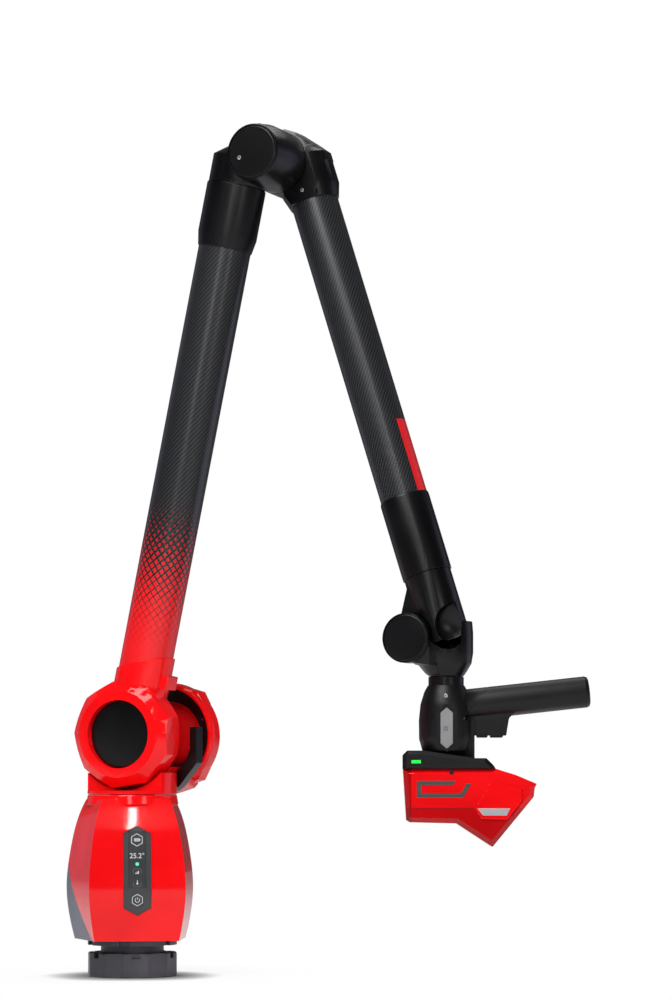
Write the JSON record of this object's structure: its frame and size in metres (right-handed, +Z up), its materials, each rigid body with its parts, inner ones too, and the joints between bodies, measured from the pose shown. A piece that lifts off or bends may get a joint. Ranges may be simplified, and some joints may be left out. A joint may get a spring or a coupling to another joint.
{
  "type": "portable measuring arm",
  "caption": "Articulated portable measuring arm: swivelling shoulder on a threaded ring mount, two carbon tubes with elbow and wrist hinges, and a pistol-grip laser scanning head.",
  "frame": {"origin": "centre of the mounting ring's open lower end, on the thread's axis", "axes": "+Z up along the base's swivel axis; -Y out of the control panel; +X to the panel's right"},
  "size_m": [0.5756, 0.3213, 0.9741],
  "materials": {
    "gloss_red": "glossy red lacquer",
    "satin_black": "satin black coat",
    "carbon_red": "clear-coated carbon fibre fading to red",
    "carbon": "clear-coated carbon fibre",
    "grey_metal": "dark grey anodised",
    "bare_metal": "machined",
    "steel": "ground steel",
    "grey_cover": "blue-grey moulding",
    "panel_dark": "dark grey panel",
    "soft_black": "fine-textured black moulding",
    "red_plastic": "glossy red moulding",
    "key_grey": "light grey key",
    "rubber": "black rubber",
    "dark_glass": "dark optical window",
    "green_board": "circuit board",
    "lamp_green": "lit lens",
    "lamp_red": "lit lens"
  },
  "bodies": {
    "base": {"base_flange": "grey_metal", "front_shell": "gloss_red", "rear_cover": "grey_cover", "socket_plate": "panel_dark", "base_bearings": "steel", "circuit_board": "green_board", "battery_pack": "soft_black", "control_panel": "panel_dark", "display_window": "panel_dark"},
    "ring": {"mount_ring": "grey_metal"},
    "power_key": {"power_button": "panel_dark"},
    "yoke": {"shoulder_yoke": "gloss_red", "cheek_liner": "satin_black", "cheek_cap": "satin_black", "shoulder_pin": "steel", "swivel_shaft": "steel", "base_encoder_disc": "bare_metal", "stop_bracket": "satin_black", "shoulder_lamp": "lamp_red"},
    "upper_arm": {"shoulder_hub": "gloss_red", "shoulder_cap": "satin_black", "shoulder_bearings": "steel", "counterbalance_spring": "steel", "arm_collar": "gloss_red", "rest_block": "gloss_red", "upper_tube": "carbon_red", "upper_sleeve": "satin_black", "upper_twist_bearings": "steel"},
    "elbow": {"elbow_housing": "satin_black", "elbow_cap": "satin_black", "upper_twist_spindle": "steel", "elbow_pin": "steel"},
    "forearm": {"forearm_head": "satin_black", "elbow_bearings": "steel", "forearm_tube": "carbon", "forearm_sleeve": "satin_black", "forearm_twist_bearings": "steel"},
    "wrist": {"wrist_housing": "satin_black", "forearm_twist_spindle": "steel"},
    "fork": {"wrist_fork": "satin_black", "wrist_caps": "satin_black", "wrist_pin": "steel"},
    "hand": {"neck_ring": "satin_black", "handle_body": "soft_black", "grip_shell": "soft_black", "scanner_housing": "red_plastic", "optics_plate": "soft_black", "optics_windows": "dark_glass", "camera_lens": "bare_metal", "laser_module": "soft_black", "scanner_cover": "soft_black", "status_light": "lamp_green", "side_panels": "red_plastic"},
    "menu_key": {"menu_button": "key_grey"},
    "trigger_rear": {"trigger_button_rear": "rubber"},
    "trigger_front": {"trigger_button_front": "rubber"}
  },
  "joints": [
    {"name": "ring_turn", "type": "hinge", "parent": "base", "child": "ring", "pos_m": [0, 0, 0], "axis": [0, 0, 1], "continuous": true},
    {"name": "power_press", "type": "slide", "parent": "base", "child": "power_key", "axis": [0, 1, 0], "range_m": [0, 0.0008], "stiffness_N_per_m": 600},
    {"name": "base_swivel", "type": "hinge", "parent": "base", "child": "yoke", "pos_m": [0, 0, 0], "axis": [0, 0, 1], "continuous": true},
    {"name": "shoulder_hinge", "type": "hinge", "parent": "yoke", "child": "upper_arm", "pos_m": [0, 0, 0.2788], "axis": [0.5476, 0.8368, 0], "range_deg": [-60, 38]},
    {"name": "upper_twist", "type": "hinge", "parent": "upper_arm", "child": "elbow", "pos_m": [0, 0, 0.2788], "axis": [0.1768, -0.1157, 0.9774], "continuous": true},
    {"name": "elbow_hinge", "type": "hinge", "parent": "elbow", "child": "forearm", "pos_m": [0.14226, -0.09309, 0.93264], "axis": [-0.5476, -0.8368, 0], "range_deg": [-4, 130]},
    {"name": "forearm_twist", "type": "hinge", "parent": "forearm", "child": "wrist", "pos_m": [0.19078, -0.05194, 0.93851], "axis": [-0.2586, 0.1692, 0.9511], "continuous": true},
    {"name": "wrist_hinge", "type": "hinge", "parent": "wrist", "child": "fork", "pos_m": [0.31137, -0.13085, 0.38495], "axis": [0.5476, 0.8368, 0], "range_deg": [0, 100]},
    {"name": "hand_turn", "type": "hinge", "parent": "fork", "child": "hand", "pos_m": [0.34066, -0.15002, 0.34295], "axis": [0, 0, 1], "continuous": true},
    {"name": "menu_press", "type": "slide", "parent": "hand", "child": "menu_key", "axis": [0.165, 0.9863, 0], "range_m": [0, 0.0004], "stiffness_N_per_m": 600},
    {"name": "trigger_rear_press", "type": "slide", "parent": "hand", "child": "trigger_rear", "axis": [0, 0, 1], "range_m": [0, 0.0012], "stiffness_N_per_m": 600},
    {"name": "trigger_front_press", "type": "slide", "parent": "hand", "child": "trigger_front", "axis": [0, 0, 1], "range_m": [0, 0.0012], "stiffness_N_per_m": 600}
  ]
}
